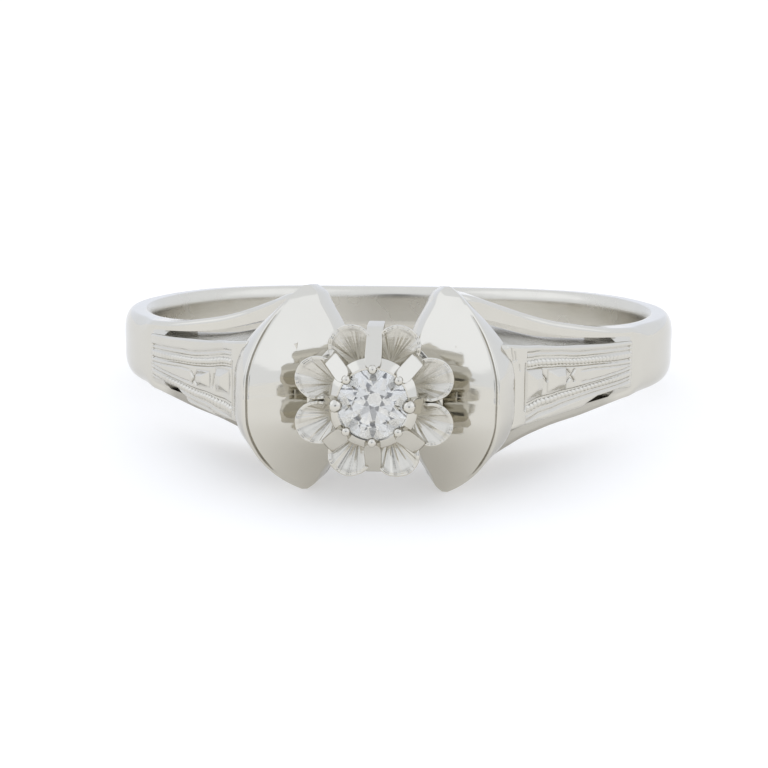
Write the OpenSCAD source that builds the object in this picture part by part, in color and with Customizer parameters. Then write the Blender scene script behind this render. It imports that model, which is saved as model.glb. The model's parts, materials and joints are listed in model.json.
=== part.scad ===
// Diamond ring: a band with split, engraved shoulders, two folded wings and a
// flower head with eight petals and eight prongs that hold a round brilliant.
// The ring lies on its side, resting on both lower wing tips and the back of the band.
// Millimetres, Z up, head toward -Y, origin under the middle of the part.
// The ring is drawn level about its finger axis and is then tilted into its rest.

/* [Band] */
// Inside diameter of the finger hole
bore_d = 17.3; // [16:0.1:19]
// Thickness of the band, radially
band_t = 0.95; // [0.8:0.05:1.3]
// Width of the band along the finger
band_w = 1.9; // [1.6:0.1:2.2]
// Rounding of the band edges
band_r = 0.22; // [0.1:0.02:0.3]

/* [Shoulders] */
// Angle from the head at which the band splits into three bars
split_deg = 49; // [47:0.5:50]
// Radial height of the engraved panel at the wing, from the finger axis
panel_top = 12.95; // [12.4:0.05:13.3]
// Half width of the engraved panel where it starts
panel_start = 0.64; // [0.56:0.02:0.68]
// Half width of the engraved panel at the wing
panel_end = 1.22; // [1:0.02:1.3]
// Height of the two square bosses on the panel
boss_h = 0.14; // [0.08:0.02:0.3]
// Height of the two bead rows on the panel
row_h = 0.06; // [0.03:0.01:0.1]

/* [Wings] */
// Distance of the wing fold from the finger axis at mid height
fold_top = 14.3; // [13.8:0.05:14.6]
// Distance of the wing fold from the centre plane at mid height
fold_x = 3.25; // [3:0.05:3.4]
// Half height of a wing, tip to middle
wing_h = 2.83; // [2.6:0.01:3]

/* [Flower] */
// Distance of the petal rims from the finger axis
rim_top = 13.96; // [13.8:0.02:14.1]
// Distance of each petal rim centre from the head axis
rim_pitch = 1.6; // [1.55:0.01:1.65]
// Radius of each round petal rim
rim_r = 0.6; // [0.56:0.01:0.64]
// Wall thickness of the petals
petal_t = 0.13; // [0.1:0.01:0.16]
// Width of each flat prong
prong_w = 0.43; // [0.36:0.01:0.5]
// Radius of the bead at the end of each prong
bead_r = 0.17; // [0.14:0.01:0.18]

/* [Diamond] */
// Girdle diameter of the stone
stone_d = 1.9; // [1.7:0.05:2]
// Distance of the girdle from the finger axis
stone_at = 14.42; // [14.3:0.01:14.5]
// Table width as a share of the girdle
table_share = 0.56; // [0.5:0.01:0.62]
// Crown angle
crown_deg = 34; // [30:0.5:36]
// Pavilion angle
pavilion_deg = 41; // [40:0.5:42]
// Clear gap between the stone and the metal
stone_gap = 0.03; // [0.02:0.005:0.05]

/* [Hidden] */
bore_r = bore_d / 2;
band_ro = bore_r + band_t;
band_hw = band_w / 2;
stone_r = stone_d / 2;
girdle_t = 0.04;
core_r = bore_r + 0.05;

// Rails of the split shoulders: angle from the head, inner and outer radius, inner and outer half width
rail = [
  [61, core_r, band_ro - 0.25, 0.6, band_hw - 0.14],
  [50, core_r, band_ro + 0.09, 0.82, band_hw + 0.09],
  [43, core_r, band_ro + 0.06, 0.88, 1.18],
  [36, core_r, band_ro + 0.06, 0.97, 1.37],
  [30, core_r, band_ro + 0.1, 1.12, 1.58],
  [23, bore_r + 0.1, band_ro + 0.35, 1.38, 1.92],
  [17, bore_r + 0.65, band_ro + 1.1, 1.58, 2.25],
  [11.5, bore_r + 1.65, band_ro + 2.15, 1.75, 2.6]
];

// Engraved panel: angle from the head, share of its rise, share of its widening
panel = [
  [56, -0.07, -0.1],
  [52, 0.03, 0.02],
  [47, 0.08, 0.1],
  [41, 0.16, 0.19],
  [36, 0.26, 0.28],
  [30, 0.42, 0.4],
  [24, 0.64, 0.65],
  [20, 0.83, 0.85],
  [16, 1.04, 1.02]
];

panel_rise = [for (s = panel) [s[0], s[1]]];
panel_run = [5.7, -9.4] - [4.6, -11.2];
panel_up = [panel_run[1], -panel_run[0], 0] / norm(panel_run);

// Wing: height share, then x and depth of the fold, inner edge, inner back, outer back and flank foot
fold_d = fold_top - 14.3;
fold_o = fold_x - 3.25;
wing = [
  [0, 3.25, 14.3, 1, 12.67, 0.85, 11.4, 3.3, 11.2, 4.15, 12],
  [0.25, 3.22, 14.22, 1.02, 12.63, 0.86, 11.4, 3.3, 11.2, 4.1, 12],
  [0.46, 3.07, 13.9, 1.12, 12.52, 0.9, 11.4, 3.1, 11.15, 3.8, 12],
  [0.67, 2.79, 13.38, 1.33, 12.35, 1.06, 11.3, 2.7, 11.1, 3.08, 11.95],
  [0.84, 2.43, 12.78, 1.62, 12.21, 1.3, 11.18, 2.3, 11.05, 2.5, 11.8],
  [1, 2.01, 12.03, 1.85, 11.97, 1.6, 11.07, 1.88, 11.07, 2.02, 11.5]
];

// Rest: the tilt that sets the wing tips and the rounded back edge of the band on one plane
tip_d = wing[5][6];
tip_z = wing_h * 0.98;
lean_a = band_ro - band_r + tip_d;
lean_b = tip_z - band_hw + band_r;
tilt = atan2(lean_b, lean_a) - asin(band_r / norm([lean_a, lean_b]));
drop = tip_z * cos(tilt) - tip_d * sin(tilt);
bead_ring = stone_r - 0.03;
bead_at = stone_at + girdle_t / 2 + (bead_r + stone_gap + 0.03 * sin(crown_deg)) / cos(crown_deg);
back_y = (band_ro - band_r) * cos(tilt) + (band_hw - band_r) * sin(tilt) + band_r;
front_y = bead_at * cos(tilt) + bead_ring * sin(tilt) + bead_r;
mid_y = (back_y - front_y) / 2;

// A closed solid through sections of equal point counts, with flat ends
function quads(n, m) = [for (i = [0:n - 2]) for (j = [0:m - 1]) let (k = (j + 1) % m) each [
  [i * m + j, i * m + k, (i + 1) * m + k],
  [i * m + j, (i + 1) * m + k, (i + 1) * m + j]
]];
function start_cap(m) = [[for (j = [m - 1:-1:0]) j]];
function end_cap(n, m) = [[for (j = [0:m - 1]) (n - 1) * m + j]];

module loft(sections) {
  n = len(sections);
  m = len(sections[0]);
  points = [for (s = sections) each s];
  polyhedron(points, concat(start_cap(m), quads(n, m), end_cap(n, m)), convexity = 6);
}

// A point at an angle from the head, at a radius, at a height
function at(a, r, z) = [r * sin(a), -r * cos(a), z];

// A four sided section with cut outer corners in the plane of one angle
function bar(a, r0, r1, z0, z1, c) = [
  at(a, r0, z0), at(a, r0, z1), at(a, r1 - c, z1), at(a, r1, z1 - c), at(a, r1, z0 + c), at(a, r1 - c, z0)
];

function panel_r(s) = band_ro + (panel_top - band_ro) * s;
function panel_hw(s) = panel_start + (panel_end - panel_start) * s;

// Section of the band with rounded edges
module band_section() {
  square([band_t, band_w - 2 * band_r], center = true);
  square([band_t - 2 * band_r, band_w], center = true);
  for (i = [-1, 1], j = [-1, 1])
    translate([i * (band_t / 2 - band_r), j * (band_hw - band_r)]) circle(r = band_r, $fn = 32);
}

// Right hand rail on the upper side
module one_rail() {
  loft([for (s = rail) bar(s[0], s[1], s[2], s[3], s[4], 0.1)]);
}

// Right hand engraved panel, standing proud of the band
module one_panel() {
  loft([for (s = panel) bar(s[0], core_r, panel_r(s[1]) + 0.06, -panel_hw(s[2]), panel_hw(s[2]), 0.05)]);
}

// A point on the face of the panel, lifted square to it
function on_panel(a, z, lift) = at(a, panel_r(lookup(a, panel_rise)) + 0.06, z) + lift * panel_up;

// One square boss, a low pyramid set on the panel between two angles
module one_boss(a0, a1, w) {
  c = (a1 - a0) * 0.3;
  loft([
    [on_panel(a0, -w, -0.1), on_panel(a0, w, -0.1), on_panel(a1, w, -0.1), on_panel(a1, -w, -0.1)],
    [on_panel(a0, -w, 0.01), on_panel(a0, w, 0.01), on_panel(a1, w, 0.01), on_panel(a1, -w, 0.01)],
    [on_panel(a0 + c, -w * 0.4, boss_h), on_panel(a0 + c, w * 0.4, boss_h),
      on_panel(a1 - c, w * 0.4, boss_h), on_panel(a1 - c, -w * 0.4, boss_h)]
  ]);
}

// Raised bead row along the panel, on the upper or lower side
module one_row(s) {
  w = 0.07;
  loft([for (a = [17.7, 22.3, 27.1, 33.3, 38.7, 45.3]) let (z = s * (0.3 + 0.34 * (47 - a) / 29)) [
    on_panel(a, z - w, -0.12),
    on_panel(a, z - w * 0.8, row_h),
    on_panel(a, z + w * 0.8, row_h),
    on_panel(a, z + w, -0.12)
  ]]);
}

// One section of a wing, at a signed height share
function wing_cut(w, s) = [
  [w[1] + fold_o, -w[2] - fold_d, w[0] * s * wing_h],
  [w[3], -w[4], w[0] * s * wing_h],
  [w[5], -w[6], w[0] * s * tip_z],
  [w[7], -w[8], w[0] * s * tip_z],
  [w[9], -w[10], w[0] * s * tip_z]
];

// Right hand wing, folded along its outer edge
module one_wing() {
  loft(concat([for (i = [5:-1:1]) wing_cut(wing[i], -1)], [for (i = [0:5]) wing_cut(wing[i], 1)]));
}

// Solid bridge that carries the wings and the head over the finger hole
module bridge() {
  w = band_hw - 0.02;
  difference() {
    translate([0, 0, -w]) linear_extrude(height = 2 * w)
      polygon([[-3.9, -8], [-4.25, -11.4], [-3.3, -12.6], [-0.9, -11.9], [0.9, -11.9], [3.3, -12.6],
        [4.25, -11.4], [3.9, -8]]);
    cylinder(r = bore_r, h = 12, center = true, $fn = 96);
  }
}

// Turns a profile of radius and depth about the head axis
module about_head() {
  rotate([90, 0, 0]) rotate_extrude($fn = 64) children();
}

// Stem of the flower with the flat collar under the stone, hollowed to clear its point
module stem() {
  top = 14.15;
  pit_r = stone_r - (stone_at - girdle_t / 2 - top) / tan(pavilion_deg) + stone_gap / sin(pavilion_deg);
  pit_d = top - pit_r * tan(pavilion_deg);
  about_head() polygon([[0, 10], [1.05, 10], [1.05, 13.8], [1.14, 13.85], [1.14, top], [pit_r, top],
    [0.05, pit_d], [0, pit_d]]);
}

// Petal: a leaning horn with a shallow scoop, open toward the stone and trimmed to its share of the circle
module petal() {
  lean = atan2(0.65, rim_top - 11.7);
  l = norm([0.65, rim_top - 11.7]);
  intersection() {
    difference() {
      translate([rim_pitch - 0.65, -11.7, 0]) rotate([0, 0, lean]) rotate([90, 0, 0])
        cylinder(r1 = 0.3, r2 = rim_r, h = l, $fn = 48);
      translate([rim_pitch - 0.54, 0.81 - rim_top, 0]) rotate([0, 0, 28]) rotate([90, 0, 0])
        cylinder(r1 = 0.03, r2 = 0.03 + 1.6 * tan(23.2) * (1 - petal_t / rim_r) / 0.783, h = 1.6, $fn = 48);
    }
    rotate([90, 0, 0]) translate([0, 0, 11]) linear_extrude(height = 4)
      polygon([[0.9, -0.9 * tan(21)], [3, -3 * tan(21)], [3, 3 * tan(21)], [0.9, 0.9 * tan(21)]]);
    rotate([90, 0, 0]) translate([0, 0, 11]) difference() {
      cylinder(r = 3, h = 4, $fn = 64);
      translate([0, 0, -1]) cylinder(r = 1.02, h = 6, $fn = 64);
    }
  }
}

// A section across a prong: outer and inner profile point, half width
function prong_cut(o, i, w) = [[o[0], -o[1], w], [o[0], -o[1], -w], [i[0], -i[1], -w], [i[0], -i[1], w]];

// Prong: a flat bar from the rim, bent inward, ending in a bead that laps over the stone
module prong() {
  w = prong_w / 2;
  r = stone_r + stone_gap + 0.02;
  loft([
    prong_cut([2.02, 13.15], [1.5, 12.6], w + 0.02),
    prong_cut([1.98, 13.35], [1.45, 13.1], w + 0.02),
    prong_cut([1.45, 14.12], [r + 0.08, 13.8], w),
    prong_cut([r + 0.22, 14.62], [r, 14.36], w),
    prong_cut([r + 0.09, 14.78], [r, 14.6], w * 0.5)
  ]);
  translate([bead_ring, -bead_at, 0]) rotate([90, 0, 0]) sphere(r = bead_r, $fn = 32);
}

// Whole metal part, level about the finger axis
module metal() {
  rotate([0, 0, split_deg - 90]) rotate_extrude(angle = 360 - 2 * split_deg, $fn = 96)
    translate([bore_r + band_t / 2, 0]) band_section();
  for (m = [0, 1]) mirror([m, 0, 0]) {
    one_rail();
    mirror([0, 0, 1]) one_rail();
    one_panel();
    one_boss(20.3, 23.6, 0.4);
    one_boss(24.7, 29.2, 0.34);
    one_row(-1);
    one_row(1);
    one_wing();
  }
  bridge();
  for (k = [0:7]) rotate([0, 22.5 + 45 * k, 0]) petal();
  stem();
  for (k = [0:7]) rotate([0, 45 * k, 0]) prong();
}

// Brilliant: table, stars, kites, upper and lower girdle facets, pavilion mains
function ring_pts(n, r, z, a0) = [
  for (k = [0:n - 1]) [r * cos(a0 + 360 * k / n), r * sin(a0 + 360 * k / n), z]
];

module brilliant() {
  c = cos(22.5);
  tc = tan(crown_deg);
  tp = tan(pavilion_deg);
  rt = stone_r * table_share;
  rs = (rt + stone_r) / 2 * 1.02;
  rl = stone_r * 0.3;
  g = girdle_t / 2;
  pts = concat(
    ring_pts(8, rt, g + (stone_r - rt) * tc, 0),
    ring_pts(8, rs, g + (stone_r - rs * c) * tc, 22.5),
    ring_pts(16, stone_r, g, 0),
    ring_pts(16, stone_r, -g, 0),
    ring_pts(8, rl, -g - (stone_r - rl * c) * tp, 22.5),
    [[0, 0, -g - stone_r * tp]]
  );
  faces = concat(
    [[for (k = [7:-1:0]) k]],
    [for (k = [0:7]) [k, (k + 1) % 8, 8 + k]],
    [for (k = [0:7]) [k, 8 + k, 16 + 2 * k]],
    [for (k = [0:7]) [k, 16 + 2 * k, 8 + (k + 7) % 8]],
    [for (k = [0:7]) [8 + k, 16 + 2 * k + 1, 16 + 2 * k]],
    [for (k = [0:7]) [8 + k, 16 + (2 * k + 2) % 16, 16 + 2 * k + 1]],
    [for (k = [0:15]) [16 + k, 16 + (k + 1) % 16, 32 + (k + 1) % 16]],
    [for (k = [0:15]) [16 + k, 32 + (k + 1) % 16, 32 + k]],
    [for (k = [0:7]) [48 + k, 32 + 2 * k, 32 + 2 * k + 1]],
    [for (k = [0:7]) [48 + k, 32 + 2 * k + 1, 32 + (2 * k + 2) % 16]],
    [for (k = [0:7]) [56, 32 + 2 * k, 48 + k]],
    [for (k = [0:7]) [56, 48 + (k + 7) % 8, 32 + 2 * k]]
  );
  polyhedron(pts, faces, convexity = 2);
}

// Tilts the level ring into its rest on the ground plane
module at_rest() {
  translate([0, -mid_y, drop]) rotate([-tilt, 0, 0]) children();
}

module mounting() {
  color([0.82, 0.83, 0.84]) at_rest() metal();
}

module diamond() {
  color([0.93, 0.96, 1]) at_rest() translate([0, -stone_at, 0]) rotate([90, 0, 0]) brilliant();
}

mounting();
diamond();
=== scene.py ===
import json
import math

import bmesh
import bpy
import numpy as np
from mathutils import Matrix, Vector


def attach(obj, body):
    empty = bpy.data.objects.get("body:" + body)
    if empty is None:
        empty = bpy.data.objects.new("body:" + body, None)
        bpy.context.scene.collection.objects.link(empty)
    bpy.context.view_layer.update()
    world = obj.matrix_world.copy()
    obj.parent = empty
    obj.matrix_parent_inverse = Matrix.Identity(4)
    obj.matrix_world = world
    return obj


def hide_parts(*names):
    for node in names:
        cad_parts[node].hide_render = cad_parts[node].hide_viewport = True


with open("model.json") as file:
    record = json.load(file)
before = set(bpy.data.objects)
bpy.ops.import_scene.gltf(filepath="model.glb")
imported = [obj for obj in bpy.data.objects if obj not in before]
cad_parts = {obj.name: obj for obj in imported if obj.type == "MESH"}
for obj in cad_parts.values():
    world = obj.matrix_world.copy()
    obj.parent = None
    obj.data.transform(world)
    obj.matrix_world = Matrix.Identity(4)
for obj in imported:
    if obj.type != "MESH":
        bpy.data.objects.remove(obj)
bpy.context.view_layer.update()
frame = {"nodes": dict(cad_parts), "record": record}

bl_info = {
    "name": "Diamond ring",
    "version": (1, 0, 0),
    "blender": (4, 5, 0),
    "location": "View3D > Sidebar > Ring",
    "description": "Split shoulder ring with folded wings and a flower head round a brilliant",
    "category": "Object",
}

# The finger hole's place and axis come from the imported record; the ring is worked out level, in mm
BORE = frame["record"]["mounts"][0]
TILT = math.atan2(BORE["axis"][1], BORE["axis"][2])
HOLE = np.array(BORE["pos_m"])


def colour(code):
    """Linear RGBA of an sRGB hex colour."""
    parts = [int(code[i:i + 2], 16) / 255 for i in (1, 3, 5)]
    return [c / 12.92 if c <= 0.04045 else ((c + 0.055) / 1.055) ** 2.4 for c in parts] + [1.0]


def at_rest(points):
    """Level ring points in mm, tilted into the rest pose, in metres."""
    p = np.asarray(points, float).reshape(-1, 3)
    c, s = math.cos(TILT), math.sin(TILT)
    y = p[:, 1] * c + p[:, 2] * s
    z = p[:, 2] * c - p[:, 1] * s
    return np.stack([p[:, 0], y, z], 1) / 1000 + HOLE


def curve(table, col, x):
    """Smooth curve through the rows of a table that is sorted on its first column."""
    t = np.array(table, float)
    xs, ys = t[:, 0], t[:, col]
    x = np.clip(np.asarray(x, float), xs[0], xs[-1])
    m = np.gradient(ys, xs)
    i = np.clip(np.searchsorted(xs, x) - 1, 0, len(xs) - 2)
    h = xs[i + 1] - xs[i]
    u = (x - xs[i]) / h
    a = (1 + 2 * u) * (1 - u) ** 2 * ys[i] + u * (1 - u) ** 2 * h * m[i]
    return a + u * u * (3 - 2 * u) * ys[i + 1] + u * u * (u - 1) * h * m[i + 1]


def polar(a, r, z):
    """Level points from the angle off the head in degrees, the radius and the height."""
    a = np.radians(a)
    return np.stack([r * np.sin(a), -r * np.cos(a), z + 0 * a], -1)


def piece(name, points, faces, cast=(), satin=(), painted_shade=None, node="mounting"):
    """One named piece of the mounting, with its cast and satin faces listed and the painted shade at each
    point.
    """
    mesh = bpy.data.meshes.new(name)
    mesh.from_pydata(at_rest(points).tolist(), [], [list(map(int, f)) for f in faces])
    mesh.update()
    mesh.polygons.foreach_set("use_smooth", [True] * len(mesh.polygons))
    obj = bpy.data.objects.new(name, mesh)
    bpy.context.scene.collection.objects.link(obj)
    mesh.materials.append(shared("polished_white_gold", polished_white_gold))
    for listed, finish, make in (
            (cast, "as_cast_white_gold", cast_white_gold), (satin, "satin_white_gold", satin_white_gold)):
        if len(listed):
            mesh.materials.append(shared(finish, make))
            for i in listed:
                mesh.polygons[i].material_index = len(mesh.materials) - 1
    # Painted shade at each point, kept for the material to darken the colour by
    if painted_shade is not None:
        layer = mesh.attributes.new("painted_shade", "FLOAT", "POINT")
        layer.data.foreach_set("value", np.asarray(painted_shade, float).ravel())
    tidy_normals(obj)
    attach(obj, "root")
    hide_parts(node)
    return obj


def tube_faces(rows, cols, start=0, capped=True):
    """Quads round a tube of point rings, ring by ring, with a face over each end where it is capped."""
    faces = []
    for i in range(rows - 1):
        for j in range(cols):
            k = (j + 1) % cols
            faces.append([i * cols + j, i * cols + k, (i + 1) * cols + k, (i + 1) * cols + j])
    if capped:
        faces.append(list(range(cols)))
        faces.append([(rows - 1) * cols + j for j in range(cols)][::-1])
    return [[start + v for v in f] for f in faces]


def sharpen(obj, degrees):
    """Keeps crisp edges where faces meet at more than an angle."""
    mesh = obj.data
    limit = math.cos(math.radians(degrees))
    normals = np.zeros(len(mesh.polygons) * 3)
    mesh.polygons.foreach_get("normal", normals)
    normals = normals.reshape(-1, 3)
    seen = {}
    for p in mesh.polygons:
        for e in p.edge_keys:
            seen.setdefault(e, []).append(p.index)
    for e in mesh.edges:
        f = seen.get(tuple(sorted(e.vertices)), [])
        if len(f) == 2 and normals[f[0]] @ normals[f[1]] < limit:
            e.use_edge_sharp = True


def tidy_normals(obj):
    """Turns every face outward."""
    bm = bmesh.new()
    bm.from_mesh(obj.data)
    bmesh.ops.recalc_face_normals(bm, faces=bm.faces)
    bm.to_mesh(obj.data)
    bm.free()


# Shoulder sizes: angle off the head, rail radius, outer and inner half width of the split, inner radius
RAIL = [
    [9, 11.85, 2.62, 2.05, 10.7],
    [12, 11.65, 2.54, 1.96, 10.2],
    [17, 10.7, 2.23, 1.71, 9.3],
    [23, 9.97, 1.89, 1.43, 8.76],
    [30, 9.72, 1.56, 1.16, 8.66],
    [37, 9.67, 1.35, 0.99, 8.65],
    [45, 9.68, 1.17, 0.89, 8.65],
    [53, 9.66, 1.09, 0.82, 8.65],
    [60, 9.6, 1.07, 0.78, 8.65],
]

# Hoop behind the shoulders: angle off the head, half width
HOOP = [
    [50, 1.08],
    [75, 1.07],
    [100, 1.09],
    [130, 1.1],
    [150, 1.03],
    [165, 0.965],
    [180, 0.95],
]

# Engraved panel: angle off the head, radius of its face, half width, middle of its face and of its pattern
PANEL = [
    [15, 13.45, 1.18, 0.22, 0.22],
    [17, 13.08, 1.12, 0.21, 0.21],
    [19, 12.66, 1.07, 0.19, 0.19],
    [21, 12.24, 1.03, 0.17, 0.17],
    [24, 11.8, 0.98, 0.13, 0.1],
    [27, 11.37, 0.94, 0.09, 0.04],
    [30, 11.02, 0.91, 0.06, -0.02],
    [33, 10.74, 0.88, 0.04, -0.05],
    [36, 10.49, 0.85, 0.02, -0.07],
    [41, 10.17, 0.81, -0.01, -0.1],
    [47, 9.9, 0.77, -0.02, -0.11],
    [52, 9.72, 0.73, -0.02, -0.1],
    [56, 9.6, 0.7, 0, -0.08],
]

# Lines cut along the panel, as half widths: angle, inner groove, bead row, second groove, outer groove
LINES = [
    [15, 0.5, 0.61, 0.77, 0.92],
    [18.5, 0.46, 0.57, 0.72, 0.86],
    [25, 0.4, 0.51, 0.66, 0.79],
    [31, 0.36, 0.47, 0.6, 0.73],
    [37.6, 0.31, 0.42, 0.56, 0.69],
    [44, 0.25, 0.37, 0.52, 0.65],
    [51, 0.2, 0.32, 0.46, 0.58],
]

# The pattern's lower half against its upper one: angle off the head, share on the right, share on the left
LOWER = [
    [15, 1.15, 1.35],
    [18.5, 1.15, 1.35],
    [22, 1.06, 1.3],
    [25, 1.0, 1.12],
    [30, 0.88, 1.04],
    [40, 0.79, 0.86],
    [51, 0.8, 0.8],
]

# Each panel's two bosses as start, end and half height, then the place of its cross, and then the place and
# lean of its slanted cut
MOTIFS = {
    1: (((18.5, 21.7, 0.38), (23.1, 27.7, 0.3)), (29.2, 0.08), (22.3, 0.13, 0.63)),
    -1: (((19.0, 22.8, 0.31), (24.9, 29.4, 0.22)), (30.7, -0.04), (23.8, -0.03, 0.94)),
}

# Wing: height share, then x and depth of its fold, inner edge, inner back, outer back and flank's foot
WING = [
    [0, 3.25, 14.3, 0.96, 12.67, 0.6, 11.4, 3.3, 11.2, 3.7, 12.95],
    [0.25, 3.22, 14.22, 0.98, 12.63, 0.62, 11.4, 3.3, 11.2, 3.66, 12.9],
    [0.46, 3.07, 13.9, 1.06, 12.52, 0.72, 11.4, 3.1, 11.15, 3.45, 12.72],
    [0.67, 2.79, 13.38, 1.26, 12.35, 0.95, 11.3, 2.7, 11.1, 2.99, 12.4],
    [0.84, 2.43, 12.78, 1.51, 12.21, 1.24, 11.18, 2.3, 11.05, 2.5, 12.0],
    [0.95, 2.12, 12.27, 1.63, 12.06, 1.44, 11.1, 2.04, 11.06, 2.17, 11.7],
    [1, 1.93, 12.03, 1.78, 11.98, 1.65, 11.07, 1.86, 11.07, 1.96, 11.5],
]


class RingSizes(bpy.types.PropertyGroup):
    """Sizes of the ring that a user would change."""
    bore: bpy.props.FloatProperty(
        name="Finger hole", description="Inside diameter", default=0.0173, unit="LENGTH")
    band_t: bpy.props.FloatProperty(
        name="Band thickness", description="Radial thickness at the back", default=0.00095, unit="LENGTH")
    dome: bpy.props.FloatProperty(
        name="Dome", description="How far the outside of the hoop falls away at its edges", default=0.0003,
        unit="LENGTH")
    comfort: bpy.props.FloatProperty(
        name="Comfort fit", description="Rounding of the finger hole's edges", default=0.00046, unit="LENGTH")
    split: bpy.props.FloatProperty(
        name="Split", description="Angle off the head where the slots end", default=math.radians(44.6),
        subtype="ANGLE")
    wing_h: bpy.props.FloatProperty(
        name="Wing height", description="Half height of a wing", default=0.00283, unit="LENGTH")
    petal_t: bpy.props.FloatProperty(
        name="Petal wall", description="Thickness of the petals", default=0.00008, unit="LENGTH")
    rim_top: bpy.props.FloatProperty(
        name="Petal rims", description="Distance of the rims from the finger axis", default=0.01396,
        unit="LENGTH")
    rim_r: bpy.props.FloatProperty(
        name="Petal radius", description="Radius of each rim", default=0.0006, unit="LENGTH")
    prong_w: bpy.props.FloatProperty(
        name="Prong width", description="Width of each flat prong", default=0.00043, unit="LENGTH")


class RingEngraving(bpy.types.PropertyGroup):
    """Sizes of the cut and beaded pattern on the shoulders."""
    bead_pitch: bpy.props.FloatProperty(
        name="Bead pitch", description="Spacing of the beads in a row", default=0.00024, unit="LENGTH")
    bead_h: bpy.props.FloatProperty(
        name="Bead height", description="How far a bead stands up", default=0.00008, unit="LENGTH")
    groove_w: bpy.props.FloatProperty(
        name="Groove width", description="Width of a cut line", default=0.00008, unit="LENGTH")
    groove_d: bpy.props.FloatProperty(
        name="Groove depth", description="Depth of a cut line", default=0.000055, unit="LENGTH")
    boss_h: bpy.props.FloatProperty(
        name="Boss height", description="Height of the square bosses", default=0.00017, unit="LENGTH")


class RingFinish(bpy.types.PropertyGroup):
    """Colours of the metal, the stone and the stage."""
    gold: bpy.props.FloatVectorProperty(
        name="White gold", description="Colour of the polished metal", subtype="COLOR", size=4,
        default=colour("#D1CDC2"))
    # Painted shade: the dark colour that cuts, slots, creases and pleats are mixed towards, standing in for
    # the shade there
    painted_shade_colour: bpy.props.FloatVectorProperty(
        name="Recesses", description="Colour of worn dirt in the cuts", subtype="COLOR", size=4,
        default=colour("#5E584C"))
    stone: bpy.props.FloatVectorProperty(
        name="Diamond", description="Body colour of the stone", subtype="COLOR", size=4,
        default=colour("#D6D4CC"))
    floor: bpy.props.FloatVectorProperty(
        name="Floor", description="Colour of the pale floor", subtype="COLOR", size=4,
        default=colour("#CFCDC9"))


def node(tree, kind, links=(), **settings):
    """Adds a node to a tree, sets its values and links its inputs."""
    n = tree.nodes.new(kind)
    for key, value in settings.items():
        if key.startswith("in_"):
            socket = n.inputs[int(key[3:])] if key[3:].isdigit() else n.inputs[key[3:].replace("_", " ")]
            socket.default_value = value
        else:
            setattr(n, key, value)
    for socket, source in links:
        tree.links.new(source, n.inputs[socket])
    return n


def fresh(name):
    """A new material with an empty node tree, and its output node."""
    m = bpy.data.materials.new(name)
    m.use_nodes = True
    m.node_tree.nodes.clear()
    return m, m.node_tree, m.node_tree.nodes.new("ShaderNodeOutputMaterial")


def metal(name, look, smooth, matt, bump, scratch):
    """White gold with a roughness range, a bump strength and a scratch size; painted shade darkens its cuts,
    slots, creases and pleats and roughens them a little.
    """
    m, t, out = fresh(name)
    place = node(t, "ShaderNodeTexCoord").outputs["Object"]
    # Haze patches about 1.5 mm across
    haze = node(t, "ShaderNodeTexNoise", [("Vector", place)], in_Scale=650, in_Detail=3, in_Roughness=0.55)
    rough = node(t, "ShaderNodeMapRange", [("Value", haze.outputs["Fac"])],
                 in_1=0.3, in_2=0.7, in_3=smooth, in_4=matt)
    # Hairline wear that runs round the finger
    stretch = node(t, "ShaderNodeMapping", [("Vector", place)], in_Scale=scratch)
    hair = node(t, "ShaderNodeTexNoise", [("Vector", stretch.outputs[0])], in_Scale=1, in_Detail=2)
    soft = node(t, "ShaderNodeTexNoise", [("Vector", place)], in_Scale=900, in_Detail=2)
    both = node(t, "ShaderNodeMath", [(0, hair.outputs["Fac"]), (1, soft.outputs["Fac"])], operation="ADD")
    wear = node(t, "ShaderNodeBump", [("Height", both.outputs[0])], in_Strength=bump, in_Distance=0.00002)
    tone = node(t, "ShaderNodeMix", [("Factor", haze.outputs["Fac"])], data_type="RGBA", in_6=look.gold)
    tone.inputs[7].default_value = [c * 0.93 for c in look.gold[:3]] + [1]
    # Painted shade: a per-point attribute mixes the colour towards the painted shade colour and raises the
    # roughness a little
    shade_attribute = node(t, "ShaderNodeAttribute", attribute_name="painted_shade")
    shaded_tone = node(t, "ShaderNodeMix", [("Factor", shade_attribute.outputs["Fac"]), (6, tone.outputs[2])],
                data_type="RGBA", in_7=look.painted_shade_colour)
    dull = node(t, "ShaderNodeMath", [(0, shade_attribute.outputs["Fac"]), (2, rough.outputs[0])],
                operation="MULTIPLY_ADD", in_1=0.25)
    skin = node(t, "ShaderNodeBsdfPrincipled", [
        ("Base Color", shaded_tone.outputs[2]), ("Roughness", dull.outputs[0]), ("Normal", wear.outputs[0])],
        in_Metallic=1.0)
    # Real alloys don't turn quite white at the rim of a curve
    skin.inputs["Specular Tint"].default_value = colour("#EEEEEE")
    t.links.new(skin.outputs[0], out.inputs[0])
    return m


def polished_white_gold(look):
    """Cast white gold, polished and then worn: a mirror with a soft haze and hairlines 0.05 mm apart."""
    return metal("polished_white_gold", look, 0.06, 0.14, 0.05, (3000, 3000, 20000))


def satin_white_gold(look):
    """White gold rubbed to a satin by the finger: reflections melt into soft bands."""
    return metal("satin_white_gold", look, 0.2, 0.3, 0.02, (1500, 1500, 7000))


def cast_white_gold(look):
    """White gold as it left the mould, where the polishing wheel can't reach: satin, streaked and darker."""
    return metal("as_cast_white_gold", look, 0.15, 0.28, 0.3, (2500, 2500, 9000))


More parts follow.
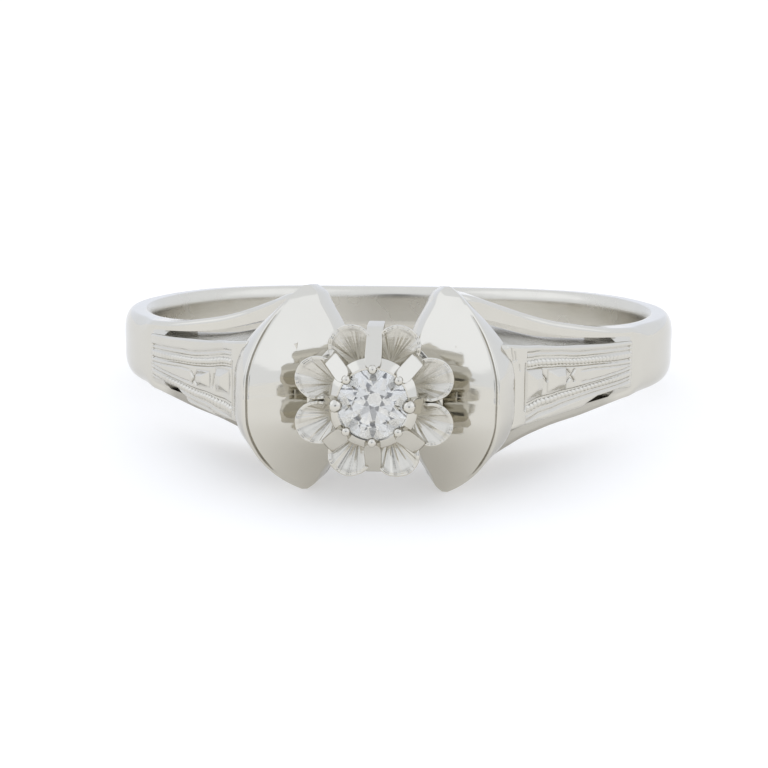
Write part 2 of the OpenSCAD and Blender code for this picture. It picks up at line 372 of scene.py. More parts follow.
def cut_diamond(look):
    """Old cut diamond: clear, colourless, high index, so it breaks the light into bright and dark patches."""
    m, t, out = fresh("cut_diamond")
    place = node(t, "ShaderNodeTexCoord").outputs["Object"]
    spots = node(t, "ShaderNodeTexNoise", [("Vector", place)], in_Scale=2500, in_Detail=2)
    rough = node(t, "ShaderNodeMapRange", [("Value", spots.outputs["Fac"])],
                 in_1=0.4, in_2=0.8, in_3=0.0, in_4=0.03)
    skin = node(t, "ShaderNodeBsdfPrincipled", [("Roughness", rough.outputs[0])], in_IOR=2.417)
    skin.inputs["Transmission Weight"].default_value = 1.0
    skin.inputs["Base Color"].default_value = look.stone
    t.links.new(skin.outputs[0], out.inputs[0])
    return m


def shared(name, make):
    """The material of that name, made once."""
    return bpy.data.materials.get(name) or make(bpy.context.scene.ring_finish)


def blend(near, far, share):
    """Value on the way from one to another."""
    return near * (1 - share) + far * share


def arc(count):
    """Sines and cosines of the steps of a quarter turn."""
    return [(math.sin(math.radians(90 * k / count)), math.cos(math.radians(90 * k / count)))
            for k in range(1, count + 1)]


# Points of a half section, counted from the middle of its face
PANEL_EDGE, RAIL_EDGE, RAIL_TURN, COMFORT_EDGE, BORE_SKIN, RAIL_BORE, CORE_EDGE = 5, 8, 20, 27, 33, 37, 40

# Softness of the rails' edges, and how far in from its edges the hoop's dome starts to fall
RAIL_SOFT, DOME_REACH = 0.16, 0.68

# Half height of the bar under a panel where it runs out into the hoop
BAR_END = 0.38


def rail_lines(r_out, r_in, z_in, z_out, dome, edge, foot):
    """Half section from the slot's edge round the outside to the inner edge: radius and height pairs."""
    edge = min(edge, 0.96 * (z_out - z_in))
    deep = min(0.6 * foot, 0.4 * (r_out - r_in))
    line = [(r_out, z_in + (z_out - edge - z_in) * k / 5) for k in range(6)]
    line += [(r_out - dome + dome * cos, z_out - edge + edge * sin) for sin, cos in arc(9)]
    line += [(r_out - dome + (r_in + deep - r_out + dome) * k / 4, z_out) for k in range(1, 5)]
    line += [(r_in + deep - deep * sin, z_out - foot + foot * cos) for sin, cos in arc(8)]
    return line + [(r_in, z_out - foot + (z_in - z_out + foot) * k / 3) for k in range(1, 4)]


def panel_drop(a, side):
    """How much lower a panel's lower edge hangs than its half width; it is cut back where the slot starts."""
    low = (0.08 if side > 0 else 0.18) * np.clip((a - 17) / 5, 0, 1) * np.clip((38 - a) / 6, 0, 1)
    return low - 0.1 * np.clip((a - 33) / 5, 0, 1) * np.clip((50 - a) / 4, 0, 1)


def half_section(s, a, way, side):
    """Radius and height pairs of the upper or lower half of the band, from its face to the finger hole."""
    bore_r, t, dome, comfort = s.bore * 500, s.band_t * 1000, s.dome * 1000, s.comfort * 1000
    # The shoulder's section turns smoothly into the hoop's between 51 and 60 degrees
    back = min(max((a - 51) / 9, 0), 1)
    back = back * back * (3 - 2 * back)
    # The lower rails bow out a little further than the upper ones
    bow = 0.1 * min(1, max(0, (a - 14) / 8)) * min(1, max(0, (50 - a) / 12)) if way < 0 else 0
    rail_r, rail_out, rail_in, rail_bore = [float(curve(RAIL, k, a)) for k in (1, 2, 3, 4)]
    pan_r, pan_w, pan_mid = [float(curve(PANEL, k, a)) for k in (1, 2, 3)]
    r_rail = blend(rail_r, bore_r + t, back)
    z_out = blend(rail_out + bow, float(curve(HOOP, 1, a)), back)
    z_in = blend(rail_in + bow, BAR_END, back)
    r_in = blend(rail_bore, bore_r, back)
    # The bar under a panel is a little smaller than the engraved skin on it
    r_pan = max(blend(pan_r - 0.06, bore_r + t, back), bore_r + t, r_rail)
    w_pan = pan_w + way * pan_mid - 0.03 + (float(panel_drop(a, side)) if way < 0 else 0)
    w_pan = min(w_pan, z_in - 0.06)
    line = [(r_pan, w_pan * k / 5) for k in range(6)]
    line += [(blend(r_pan, r_rail, k / 3), blend(w_pan, z_in, k / 3)) for k in (1, 2)]
    soft = RAIL_SOFT * (1 - back)
    fall, reach, foot = [soft + size * back for size in (dome, DOME_REACH, comfort)]
    line += rail_lines(r_rail, r_in, z_in, z_out, fall, reach, foot)
    core = bore_r if a > 22 else max(bore_r, r_in - 0.6)
    w_in = min(max(w_pan + 0.04, z_in - 0.16), z_in - 0.03)
    line += [(blend(r_in, core, k / 3), blend(z_in, w_in, k / 3)) for k in (1, 2)]
    return line + [(core, w_in * k / 3) for k in (3, 2, 1, 0)]


def band_painted_shade(angles, off_head, n, split):
    """Painted shade deep in the slots, on the lower rails and, faintly, on the finger hole at the back."""
    painted_shade = np.zeros((len(angles), n))
    for row, full, a in zip(painted_shade, angles, off_head):
        # Painted shade where the slots, the lower rails and the back of the finger hole lie in shade
        if a < split + 0.01:
            row[[RAIL_BORE, CORE_EDGE]] = 0.38
            row[[n - RAIL_BORE, n - CORE_EDGE, n - RAIL_EDGE, n - PANEL_EDGE]] = 0.5
        if a < 47:
            row[n - RAIL_TURN:n - RAIL_EDGE] = (0.28 if full < 180 else 0.45) * min(1, (47 - a) / 4)
        if a > 155:
            row[BORE_SKIN:n - BORE_SKIN + 1] = 0.16 * min(1, (a - 155) / 12)
    return painted_shade


def slot_walls(is_open, n):
    """Walls along the slots, from the outside to the finger hole, and then across their ends."""
    walls = [(PANEL_EDGE, CORE_EDGE), (RAIL_EDGE, RAIL_BORE)]
    walls += [(n - o, n - q) for o, q in walls]
    faces = []
    for i in range(len(is_open)):
        if is_open[i]:
            for o, q in walls:
                faces.append([i * n + o, (i + 1) * n + o, (i + 1) * n + q, i * n + q])
    for i in range(1, len(is_open)):
        if is_open[i] != is_open[i - 1]:
            for k in range(RAIL_EDGE - PANEL_EDGE):
                wall = [PANEL_EDGE + k, PANEL_EDGE + k + 1, CORE_EDGE - k - 1, CORE_EDGE - k]
                faces.append([i * n + j for j in wall])
                faces.append([i * n + n - j for j in wall])
    return faces


def build_band():
    """Hoop, split shoulders and slots as one skin of quads with two slots a side."""
    s = bpy.context.scene.ring_sizes
    split = math.degrees(s.split)
    close = [split + step for step in (-0.3, -0.12, 0, 0.12, 0.3)]
    half = sorted(set(list(np.arange(9, 56, 0.5)) + close)) + list(np.arange(56, 180, 3))
    angles = half + [180] + [360 - a for a in half[::-1]]
    off_head = [min(full, 360 - full) for full in angles]
    rows = []
    for full, a in zip(angles, off_head):
        side = 1 if full < 180 else -1
        upper, lower = half_section(s, a, 1, side), half_section(s, a, -1, side)
        rows.append([polar(full, r, z) for r, z in upper + [(r, -z) for r, z in lower[-2:0:-1]]])
    n = len(rows[0])
    gap = set(range(PANEL_EDGE, RAIL_EDGE)) | set(range(RAIL_BORE, CORE_EDGE))
    gap |= {n - 1 - j for j in gap}
    is_open = [min(a, b) < split - 1e-6 and max(a, b) < split + 1e-6 for a, b in zip(off_head, off_head[1:])]
    faces, satin = [], []
    for i in range(len(rows) - 1):
        for j in range(n):
            if is_open[i] and j in gap:
                continue
            k = (j + 1) % n
            if COMFORT_EDGE <= j < n - COMFORT_EDGE:
                satin.append(len(faces))
            faces.append([i * n + j, (i + 1) * n + j, (i + 1) * n + k, i * n + k])
    skin = len(faces)
    faces += slot_walls(is_open, n)
    # The two ends under the wings
    faces.append(list(range(n)))
    faces.append([(len(rows) - 1) * n + j for j in range(n)][::-1])
    points = np.array(rows).reshape(-1, 3)
    obj = piece("band_and_rails", points, faces, cast=range(skin, len(faces)), satin=satin,
                painted_shade=band_painted_shade(angles, off_head, n, split))
    sharpen(obj, 50)


def groove(distance, width, depth):
    """A V cut, as a negative height."""
    return -depth * np.clip(1 - np.abs(distance) / (width / 2), 0, 1)


def window(distance, reach, fade):
    """1 within a reach, falling to 0 over a fade at its end."""
    return np.clip((reach - np.abs(distance)) / fade, 0, 1)


def small_marks(angle, z, cross, slash):
    """The slanted cut between the bosses, and the small cross beside them."""
    over, up, lean = (angle - slash[0]) * 0.23, z - slash[1], slash[2]
    rise = math.sqrt(1 - lean ** 2)
    mark = groove(over * lean + up * rise, 0.11, 0.11) * window(over * rise - up * lean, 0.22, 0.05)
    for lean in (-1.3, 1.3):
        arm = ((angle - cross[0]) * 0.22 - lean * (z - cross[1])) / math.hypot(1, lean)
        mark += groove(arm, 0.13, 0.12) * window(z - cross[1], 0.2, 0.05)
    return mark


def closing_cuts(angle, z, off, side):
    """The upright cut that closes the panel beside the wing, and stray graver strokes on the right."""
    stop = groove((angle - 18.15) * 0.24, 0.1, 0.1) * window(off, 0.62, 0.05)
    if side > 0:
        for a0, z0, reach in ((15.75, 0.9, 0.2), (16.25, 0.86, 0.14), (17.0, 0.52, 0.1)):
            stroke = (angle - a0) * 0.28 + (z - z0) * 0.25
            stop = stop + groove(stroke, 0.08, 0.07) * window(z - z0, reach, 0.04)
    return stop


def relief(run, angle, z, cuts, side):
    """Height of the engraved pattern and the painted shade in its cuts, at a run along the panel, an angle
    and a height.
    """
    bosses, cross, slash = MOTIFS[side]
    inner, bead, second, outer = [curve(LINES, k, angle) for k in (1, 2, 3, 4)]
    # How far off the pattern's middle, counted as on its upper half
    off = np.abs(z) / np.where(z < 0, curve(LOWER, 1 if side > 0 else 2, angle), 1)
    w, d, pitch, bead_h = [1000 * v for v in (cuts.groove_w, cuts.groove_d, cuts.bead_pitch, cuts.bead_h)]
    inside = np.clip((angle - 18.3) / 0.25, 0, 1) * np.clip((50.6 - angle) / 0.3, 0, 1)
    cut = groove(off - outer, w * 2, d) + groove(off - second, w * 2, d) + groove(off - inner, w * 1.6, d)
    # Bead rows: a dome every pitch, in a trough
    along = (run / pitch) % 1 - 0.5
    across = (off - bead) / (pitch * 0.42)
    fade = np.clip((47 - angle) / 12, 0.12, 1)
    dome = np.sqrt(np.clip(1 - (along * 2.1) ** 2 - across ** 2, 0, 1))
    trough = np.exp(-(across / 1.15) ** 4)
    h = (dome * bead_h - 0.045 * trough) * fade
    # Painted shade in the troughs between the beads
    painted_shade = 0.22 * trough * (1 - dome) ** 3 * fade
    # Plain tapered wedge in the middle, towards the band
    wedge = 0.05 + 0.13 * np.clip((50 - angle) / 14, 0, 1)
    cut += groove(off - wedge, w, d * 0.8) * np.clip((angle - 31.5) / 1.5, 0, 1)
    # Two square bosses with four slopes, each with a painted shade round its foot
    for start, end, half in bosses:
        mid, reach = (start + end) / 2, (end - start) / 2
        square = np.maximum(np.abs(angle - mid) / reach, np.abs(z) / half)
        h = h + cuts.boss_h * 1000 * np.clip((1 - square) / 0.6, 0, 1)
        # Painted shade round each boss's foot
        painted_shade = painted_shade + 0.25 * np.clip(1 - np.abs(square - 1.06) / 0.1, 0, 1)
    mark = small_marks(angle, z, cross, slash)
    stop = closing_cuts(angle, z, off, side)
    # Painted shade in every cut, darkest in the small marks
    painted_shade = np.clip(painted_shade * inside - cut * inside * 1.7 - (mark * inside + stop) * 6, 0, 0.6)
    return (h + cut + mark) * inside + stop, painted_shade


def panel_line(a):
    """The panel's face at an angle: how far out to the side it lies, and how far forward."""
    r = curve(PANEL, 1, a)
    return r * np.sin(np.radians(a)), r * np.cos(np.radians(a))


def panel_stations(step):
    """Stations an even step apart, from the band to under the wing: run, angle, place and outward way."""
    a = np.linspace(51.2, 13.7, 1200)
    x, d = panel_line(a)
    run = np.concatenate([[0], np.cumsum(np.hypot(np.diff(x), np.diff(d)))])
    stations = np.arange(0, run[-1], step)
    a = np.interp(stations, run, a)
    x, d = panel_line(a)
    tx, td = np.gradient(x, stations), np.gradient(d, stations)
    nx, nd = -td / np.hypot(tx, td), tx / np.hypot(tx, td)
    outward = np.sign(nx * x + nd * d)
    return stations, a, x, d, nx * outward, nd * outward


def build_panels():
    """Engraved panels of both shoulders, as fine skins on top of the bars."""
    cuts = bpy.context.scene.ring_engraving
    step, across, depth, rounding = 0.03, 79, 0.3, 0.09
    stations, a, x, d, nx, nd = panel_stations(step)
    run, angle = [np.repeat(v[:, None], across, 1) for v in (stations, a)]
    lines = np.linspace(-1, 1, across)
    middle, high = curve(PANEL, 3, a), curve(PANEL, 2, a)
    for side, name in ((1, "engraved_panel_right"), (-1, "engraved_panel_left")):
        low = high + panel_drop(a, side)
        wide = np.where(lines < 0, low[:, None], high[:, None])
        z = wide * lines
        # The pattern runs a little above its middle line on the right, and below it on the left
        shift = 0.05 * np.clip((a - 20) / 6, 0, 1)
        lean = middle - curve(PANEL, 4, a) + (-shift if side > 0 else shift + 0.07)
        h, painted_shade = relief(run, angle, z + lean[:, None], cuts, side)
        # Rounded long edges
        inset = np.clip(1 - (wide - np.abs(z)) / rounding, 0, 1)
        h -= rounding * (1 - np.sqrt(np.clip(1 - inset ** 2, 0, 1)))
        # Start flush with the band
        h -= 0.1 * np.clip((angle - 50.9) / 0.3, 0, 1)
        out, ahead = x[:, None] + nx[:, None] * h, d[:, None] + nd[:, None] * h
        top = np.stack([out, -ahead, z + middle[:, None]], -1)
        above, below = [np.stack([x - nx * depth, -(d - nd * depth), middle + w], -1) for w in (high, -low)]
        rows = np.concatenate([below[:, None], top, above[:, None]], 1)
        rows[..., 0] *= side
        faces = tube_faces(*rows.shape[:2])
        piece(name, rows.reshape(-1, 3), faces, painted_shade=np.pad(painted_shade, ((0, 0), (1, 1))))


# Points round each corner of a rounded section
CORNER = 7


def rounded(corners, radii, count=CORNER):
    """A polygon with each corner rounded by a count of points, the same for any shape."""
    out = []
    c = [np.array(p, float) for p in corners]
    for i, p in enumerate(c):
        a, b = c[i - 1] - p, c[(i + 1) % len(c)] - p
        la, lb = np.linalg.norm(a), np.linalg.norm(b)
        a, b = a / max(la, 1e-9), b / max(lb, 1e-9)
        ang = math.acos(max(-1, min(1, float(a @ b))))
        r = min(radii[i], 0.45 * min(la, lb) * math.tan(ang / 2))
        cut = r / max(math.tan(ang / 2), 1e-6)
        p0, p1 = p + a * cut, p + b * cut
        for u in np.linspace(0, 1, count):
            out.append((1 - u) ** 2 * p0 + 2 * u * (1 - u) * (p * 0.62 + (p0 + p1) * 0.19) + u * u * p1)
    return out


def wing_section(g, push):
    """A wing's corners, their radii and its lip's depth at a height share, pushed out to the side."""
    v = [float(curve(WING, k, g)) for k in range(1, 11)]
    fold, inner, back_in, back_out, foot = [np.array(v[k:k + 2]) for k in (0, 2, 4, 6, 8)]
    for spot, part in ((fold, 1), (foot, 1), (back_out, 1), (inner, g ** 4), (back_in, g ** 4)):
        spot[0] += push * part
    face = (inner - fold) / np.linalg.norm(inner - fold)
    out = np.array([-face[1], face[0]])
    out *= 1 if out[1] > 0 else -1
    # The lip and its rounding fade out towards the tips
    size = min(1, max(0.0, (1 - g) / 0.25))
    cut = 0.07 * min(1, max(0, (0.8 - g) / 0.2))
    corners = [
        fold, fold + face * 0.09 * size, fold + face * (0.13 * size) - out * cut, fold + face * 0.18 * size,
        inner, back_in, back_out, foot]
    radii = [0.05 * size, 0.02 * size, 0.01, 0.04 * size, 0.12 * size, 0.2 * size, 0.1, 0.2]
    return corners, radii, cut


def build_wings():
    """The two folded wings, each a leaf with a lip and a cut along its outer edge."""
    h = bpy.context.scene.ring_sizes.wing_h * 1000
    # Sections crowd together towards the tips
    steps = 1 - np.linspace(0, 1, 70) ** 1.6
    shares = np.unique(np.concatenate([-steps, steps]))
    # The lip's groove is the section's third corner, and the back starts at its sixth
    groove_at, back_at = range(2 * CORNER, 3 * CORNER), 5 * CORNER
    for side, name in ((1, "wing_right"), (-1, "wing_left")):
        rows, painted_shade = [], []
        for q in shares:
            # The left wing sweeps out a little further than the right one
            sweep = 0 if side > 0 else 0.14 - 0.03 * q
            corners, radii, cut = wing_section(abs(q), sweep)
            ring = rounded(corners, radii)
            # The back is a little shorter than the face, so that its tips just stand on the floor
            high = [q * h * (1 if j < back_at else 0.98) for j in range(len(ring))]
            rows.append([[p[0] * side, -p[1], z] for p, z in zip(ring, high)])
            # Painted shade along the lip's groove
            painted_shade.append([cut * 6 if j in groove_at else 0 for j in range(len(ring))])
        rows = np.array(rows)
        sharpen(piece(name, rows.reshape(-1, 3), tube_faces(*rows.shape[:2]), painted_shade=painted_shade), 45)


def build_bridge():
    """Bridge under the flower, from wing to wing."""
    profile = [[-4.2, 11.4], [-3.3, 12.4], [-0.9, 11.9], [0.9, 11.9], [3.3, 12.4], [4.2, 11.4]]
    bore_r, half = bpy.context.scene.ring_sizes.bore * 500, 0.93
    xs = np.linspace(-3.85, 3.85, 60)
    top = np.interp(xs, [p[0] for p in profile], [p[1] for p in profile])
    low = np.sqrt(bore_r ** 2 - xs ** 2)
    rows = []
    for x, hi, lo in zip(xs, top, low):
        ring = rounded([[hi, half], [lo, half], [lo, -half], [hi, -half]], [0.15, 0.1, 0.1, 0.15])
        rows.append([[x, -p[0], p[1]] for p in ring])
    rows = np.array(rows)
    sharpen(piece("bridge", rows.reshape(-1, 3), tube_faces(*rows.shape[:2])), 50)


def spin(profile, steps=96):
    """Points and faces of a profile of radius and depth turned about the head axis."""
    f = np.linspace(0, 2 * math.pi, steps, endpoint=False)
    points = [[r * math.cos(k), -d, r * math.sin(k)] for k in f for r, d in profile]
    n = len(profile)
    faces = []
    for i in range(steps):
        for j in range(n - 1):
            k = (i + 1) % steps
            faces.append([i * n + j, k * n + j, k * n + j + 1, i * n + j + 1])
    return points, faces


def turned(points, degrees):
    """Points turned about the head axis."""
    c, s = math.cos(math.radians(degrees)), math.sin(math.radians(degrees))
    p = np.asarray(points, float)
    return np.stack([p[:, 0] * c - p[:, 2] * s, p[:, 1], p[:, 0] * s + p[:, 2] * c], 1)


class Parts:
    """Points and faces of like parts, gathered into one piece."""

    def __init__(self):
        self.points, self.faces = [], []

    def add(self, rows, turn, capped=True):
        """Adds a tube of point rings turned about the head axis, and gives the number of its first face."""
        first = len(self.faces)
        self.faces += tube_faces(*rows.shape[:2], start=len(self.points), capped=capped)
        self.points += turned(rows.reshape(-1, 3), turn).tolist()
        return first


# Distance of the petals' middles from the head axis
PETAL_AT = 1.6

# Outer ends of the flat prongs, counted from the right; the two at the sides are short
PRONG_REACH = [1.34, 1.62, 1.9, 1.62, 1.3, 1.74, 1.9, 1.74]
SHORT_PRONG = 1.5


def petal(k, wall, top, rad):
    """Rings of one leaning horn with a pleated scoop, the painted shade on them, and the scoop's first ring.
    """
    around = np.radians(np.linspace(0, 360, 121)[:-1])
    cos, sin = np.cos(around), np.sin(around)
    base, foot_r, lean, lip, hollow = 11.7, 0.3, 0.65, 0.03, 0.27
    # The rim waves six times and is fretted finely; each petal has its own turn of both
    broad = np.cos(6 * around + 0.9 * k)
    fine = np.cos(17 * around + 2.1 * k) + 0.6 * np.cos(29 * around + 1.3 * k)
    wave = 0.03 * broad + 0.006 * fine
    rows = []
    for u in np.linspace(0, 1, 14):
        c, r, d = PETAL_AT - lean * (1 - u), foot_r + (rad - foot_r) * u, base + (top - lip - base) * u
        rows.append(np.stack([c + r * cos, -d - wave * u ** 6, r * sin], 1))
    for f in np.radians((30, 60, 90, 120, 150)):
        r, d = rad - wall / 2 + wall / 2 * math.cos(f), top - lip + lip * math.sin(f)
        rows.append(np.stack([PETAL_AT + r * cos, -d - wave, r * sin], 1))
    scoop = len(rows) - 1
    pleat_shade = [0 * around] * len(rows)
    # Pleats fan out to the rim from a point beside the collar
    near = 1.06
    reach_x, reach_z = PETAL_AT + (rad - wall) * cos - near, (rad - wall) * sin
    for u in np.linspace(1, 0.03, 32):
        d = top - hollow - 0.01 + hollow * u ** 1.3 + wave * u
        rows.append(np.stack([near + reach_x * u, -d, reach_z * u], 1))
        # Painted shade in the pleats' valleys, and a painted dark line just inside the rim
        line = max(0, 1 - abs(u - 0.94) / 0.05) * (0.5 + 0.5 * np.cos(5 * around + k))
        folds = 0.12 * np.clip(-broad, 0, 1) * u * (1.1 - u) * 3
        pleat_shade.append(folds + 0.03 * np.clip(-fine, 0, 1) + 0.3 * line)
    return np.array(rows), pleat_shade, scoop


def build_petals():
    """Eight petals, and the cup that joins them at their feet."""
    s = bpy.context.scene.ring_sizes
    petals, cast, painted_shade = Parts(), [], []
    for k in range(8):
        rows, pleat_shade, scoop = petal(k, s.petal_t * 1000, s.rim_top * 1000, s.rim_r * 1000)
        first = petals.add(rows, 22.5 + 45 * k)
        # The scoop keeps its cast skin, but not the two faces that close the horn's ends
        cast += range(first + scoop * rows.shape[1], len(petals.faces) - 2)
        painted_shade += np.ravel(pleat_shade).tolist()
    # The flower is a little lower than it is wide
    points = np.array(petals.points) * [1, 1, 0.965]
    piece("petals", points, petals.faces, cast=cast, painted_shade=painted_shade)


def build_collar():
    """Stem with a flat bright seat round the stone, and the calyx under the petals."""
    points, faces = spin([
        (0.6, 10.6), (1.05, 10.9), (1.08, 13.4), (1.19, 14.22), (1.19, 14.26), (1.16, 14.3), (0.99, 14.46),
        (0.955, 14.48), (0.92, 14.475), (0.91, 14.44), (0.9, 14.24), (0.1, 13.3)])
    sharpen(piece("collar", points, faces), 30)
    points, faces = spin([
        (1.0, 12.3), (1.45, 13.15), (1.76, 13.6), (1.79, 13.65), (1.77, 13.68), (1.5, 13.5), (1.04, 13.4)])
    piece("calyx", points, faces)


def prong_cuts(e, w):
    """Cuts along a prong that ends at e: outer radius and depth, inner radius and depth, and half width."""
    if e < SHORT_PRONG:
        # The short ones drop away round their ends
        cuts = [
            [e + 0.1, 12.9, 1.1, 12.5, w], [e + 0.07, 13.6, 1.1, 13.3, w], [e + 0.03, 14.0, 1.1, 13.5, w],
            [e - 0.02, 14.2, 1.1, 13.8, w], [e - 0.08, 14.38, 1.1, 14.0, w], [e - 0.12, 14.44, 1.1, 14.1, w]]
    else:
        # The others lie out over the petals
        lift = (max(PRONG_REACH) - e) * 0.95
        cuts = [
            [e + 0.08, 12.9, 1.3, 12.5, w], [e + 0.03, 13.6 + lift, 1.3, 13.3, w],
            [e, 13.79 + lift, 1.3, 13.5, w], [e - 0.05, 13.87 + lift, 1.25, 13.6, w],
            [1.36, 14.33, 1.12, 14.0, w], [1.3, 14.4, 1.1, 14.1, w]]
    # Both kinds bend up and narrow towards the bead
    return cuts + [
        [1.14, 14.58, 0.99, 14.4, w * 0.98], [1.06, 14.7, 0.98, 14.5, w * 0.85],
        [1.0, 14.78, 0.97, 14.62, w * 0.5]]


def build_prongs():
    """Flat bars bent inward, each ending in a bead over the edge of the stone."""
    w = bpy.context.scene.ring_sizes.prong_w * 500
    bars, beads = Parts(), Parts()
    lat, lon = np.radians(np.linspace(-90, 90, 17)), np.radians(np.linspace(0, 360, 33)[:-1])
    for k, e in enumerate(PRONG_REACH):
        rows = []
        for out, out_d, inn, inn_d, half in prong_cuts(e, w):
            ring = rounded([[0, half], [1, half], [1, -half], [0, -half]], [0.03] * 4, 4)
            rows.append([[inn + (out - inn) * p[0], -(inn_d + (out_d - inn_d) * p[0]), p[1]] for p in ring])
        bars.add(np.array(rows), 45 * k)
        r = 0.18 if e < SHORT_PRONG else 0.125
        ball = [[[0.94 + r * math.cos(f) * math.cos(l), -(14.7 + r * math.sin(l)),
                  r * math.cos(l) * math.sin(f)] for f in lon] for l in lat]
        beads.add(np.array(ball), 45 * k, capped=False)
    sharpen(piece("prongs", bars.points, bars.faces), 40)
    piece("prong_beads", beads.points, beads.faces)


def set_diamond():
    """Gives the cut stone its material, facet by facet flat."""
    stone = frame["nodes"]["diamond"]
    stone.data.materials.clear()
    stone.data.materials.append(shared("cut_diamond", cut_diamond))
    stone.data.polygons.foreach_set("use_smooth", [False] * len(stone.data.polygons))


def pale_floor(look):
    """Matt pale card with a faint tooth; it glows a little, as paper does in a light tent."""
    m, t, out = fresh("pale_card")
    place = node(t, "ShaderNodeTexCoord").outputs["Object"]
    tooth = node(t, "ShaderNodeTexNoise", [("Vector", place)], in_Scale=4000, in_Detail=2)
    bump = node(t, "ShaderNodeBump", [("Height", tooth.outputs["Fac"])],
                in_Strength=0.05, in_Distance=0.00001)
    skin = node(t, "ShaderNodeBsdfPrincipled", [("Normal", bump.outputs[0])], in_Roughness=0.9)
    skin.inputs["Base Color"].default_value = look.floor
    skin.inputs["Specular IOR Level"].default_value = 0.2
    skin.inputs["Emission Color"].default_value = colour("#F6F7FA")
    skin.inputs["Emission Strength"].default_value = 0.43
    t.links.new(skin.outputs[0], out.inputs[0])
    return m


def add_area(name, place, aim, size, power, tint):
    """A soft box at a place, aimed at a point."""
    data = bpy.data.lights.new(name, "AREA")
    data.shape = "RECTANGLE"
    data.size, data.size_y = size
    data.energy = power
    data.color = tint[:3]
    obj = bpy.data.objects.new(name, data)
    obj.location = place
    obj.rotation_euler = (Vector(aim) - Vector(place)).to_track_quat("-Z", "Y").to_euler()
    bpy.context.scene.collection.objects.link(obj)


# Camera in the level frame, fitted to the photograph: turn, height and roll in degrees, distance and offsets
# in mm, and focal length and picture width in pixels
CAMERA = {
    "az": 3.07, "el": 9.09, "roll": 0.52, "away": 50.0, "tx": -0.49, "tz": -1.75,
    "focal": 1396.0, "wide": 768}


def camera_axes():
    """The camera's right, up and back in the level frame, before its roll."""
    az, el = math.radians(CAMERA["az"]), math.radians(CAMERA["el"])
    back = np.array([math.sin(az) * math.cos(el), -math.cos(az) * math.cos(el), math.sin(el)])
    right = np.array([math.cos(az), math.sin(az), 0.0])
    return right, np.cross(back, right), back


def way_at_rest(way):
    """A level direction, tilted into the rest pose."""
    return (at_rest([way])[0] - HOLE) * 1000


def build_world():
    """Even studio light, dim just round the lens, which dots each bead and darkens some facets."""
    world = bpy.data.worlds.new("studio")
    bpy.context.scene.world = world
    world.use_nodes = True
    t = world.node_tree
    t.nodes.clear()
    out = t.nodes.new("ShaderNodeOutputWorld")
    way = node(t, "ShaderNodeTexCoord").outputs["Generated"]
    lens_way = tuple(way_at_rest(camera_axes()[2]))
    near = node(t, "ShaderNodeVectorMath", [(0, way)], operation="DOT_PRODUCT", in_1=lens_way)
    dim = node(t, "ShaderNodeMapRange", [("Value", near.outputs["Value"])],
               in_1=0.962, in_2=0.985, in_3=0, in_4=0.85)
    tint = node(t, "ShaderNodeMix", [("Factor", dim.outputs[0])],
                data_type="RGBA", in_6=colour("#EFF4FF"), in_7=colour("#282828"))
    sky = node(t, "ShaderNodeBackground", [("Color", tint.outputs[2])], in_Strength=1.23)
    t.links.new(sky.outputs[0], out.inputs[0])


def build_camera():
    """Camera placed as in the photograph."""
    data = bpy.data.cameras.new("camera")
    data.sensor_fit = "HORIZONTAL"
    data.sensor_width = 36
    data.lens = CAMERA["focal"] * data.sensor_width / CAMERA["wide"]
    data.clip_start = 0.001
    right, up, back = camera_axes()
    cos, sin = math.cos(math.radians(CAMERA["roll"])), math.sin(math.radians(CAMERA["roll"]))
    spot = back * CAMERA["away"] + right * CAMERA["tx"] + up * CAMERA["tz"]
    m = Matrix.Identity(4)
    for k, axis in enumerate((right * cos + up * sin, up * cos - right * sin, back)):
        m.col[k][:3] = way_at_rest(axis)
    m.translation = at_rest([spot])[0]
    cam = bpy.data.objects.new("camera", data)
    cam.matrix_world = m
    bpy.context.scene.collection.objects.link(cam)
    bpy.context.scene.camera = cam


def build_stage():
    """Floor, soft light and the camera."""
    bpy.ops.mesh.primitive_plane_add(size=1.2)
    floor = bpy.context.object
    floor.name = "floor"
    floor.data.materials.append(shared("pale_card", pale_floor))
    build_world()
    add_area("softbox_right", (0.28, -0.06, 0.23), (0, 0, 0), (0.35, 0.3), 0.075, colour("#F1F5FF"))
    add_area("softbox_left", (-0.28, -0.02, 0.23), (0, 0, 0), (0.35, 0.3), 0.09, colour("#F1F5FF"))
    build_camera()
    bpy.context.scene.view_settings.view_transform = "Standard"


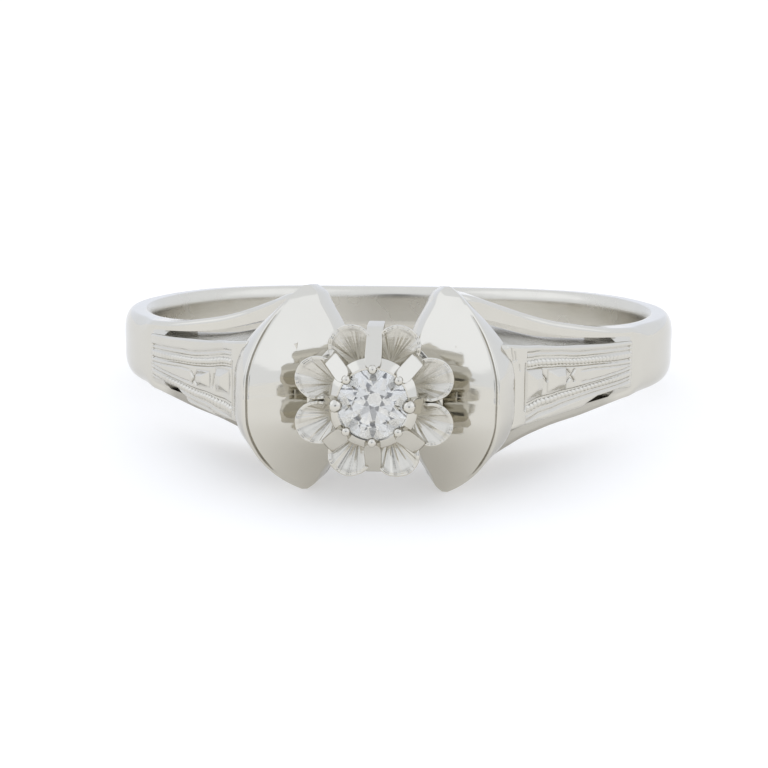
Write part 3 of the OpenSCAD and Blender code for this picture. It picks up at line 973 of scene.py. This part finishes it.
class RING_OT_band(bpy.types.Operator):
    """Band with its split shoulders and rails, and the bridge under the flower"""
    bl_idname = "ring.band"
    bl_label = "Band and rails"

    def execute(self, context):
        build_band()
        build_bridge()
        return {"FINISHED"}


class RING_OT_panels(bpy.types.Operator):
    """Engraved and beaded shoulder panels"""
    bl_idname = "ring.panels"
    bl_label = "Engraved panels"

    def execute(self, context):
        build_panels()
        return {"FINISHED"}


class RING_OT_wings(bpy.types.Operator):
    """Folded wings beside the flower"""
    bl_idname = "ring.wings"
    bl_label = "Wings"

    def execute(self, context):
        build_wings()
        return {"FINISHED"}


class RING_OT_flower(bpy.types.Operator):
    """Petals, collar, prongs and the stone"""
    bl_idname = "ring.flower"
    bl_label = "Flower and diamond"

    def execute(self, context):
        build_petals()
        build_collar()
        build_prongs()
        set_diamond()
        return {"FINISHED"}


class RING_OT_stage(bpy.types.Operator):
    """Floor, lights and camera"""
    bl_idname = "ring.stage"
    bl_label = "Stage"

    def execute(self, context):
        build_stage()
        return {"FINISHED"}


class RING_PT_panel(bpy.types.Panel):
    """Lists the steps that build the ring"""
    bl_idname = "RING_PT_panel"
    bl_label = "Diamond ring"
    bl_space_type = "VIEW_3D"
    bl_region_type = "UI"
    bl_category = "Ring"

    def draw(self, context):
        for step in STEPS:
            self.layout.operator(step.bl_idname)


STEPS = (RING_OT_band, RING_OT_panels, RING_OT_wings, RING_OT_flower, RING_OT_stage)
CLASSES = (RingSizes, RingEngraving, RingFinish) + STEPS + (RING_PT_panel,)


def register():
    for c in CLASSES:
        bpy.utils.register_class(c)
    bpy.types.Scene.ring_sizes = bpy.props.PointerProperty(type=RingSizes)
    bpy.types.Scene.ring_engraving = bpy.props.PointerProperty(type=RingEngraving)
    bpy.types.Scene.ring_finish = bpy.props.PointerProperty(type=RingFinish)


def unregister():
    del bpy.types.Scene.ring_finish
    del bpy.types.Scene.ring_engraving
    del bpy.types.Scene.ring_sizes
    for c in reversed(CLASSES):
        bpy.utils.unregister_class(c)


def main():
    register()
    bpy.ops.ring.band()
    bpy.ops.ring.panels()
    bpy.ops.ring.wings()
    bpy.ops.ring.flower()
    bpy.ops.ring.stage()


if __name__ == "__main__":
    main()
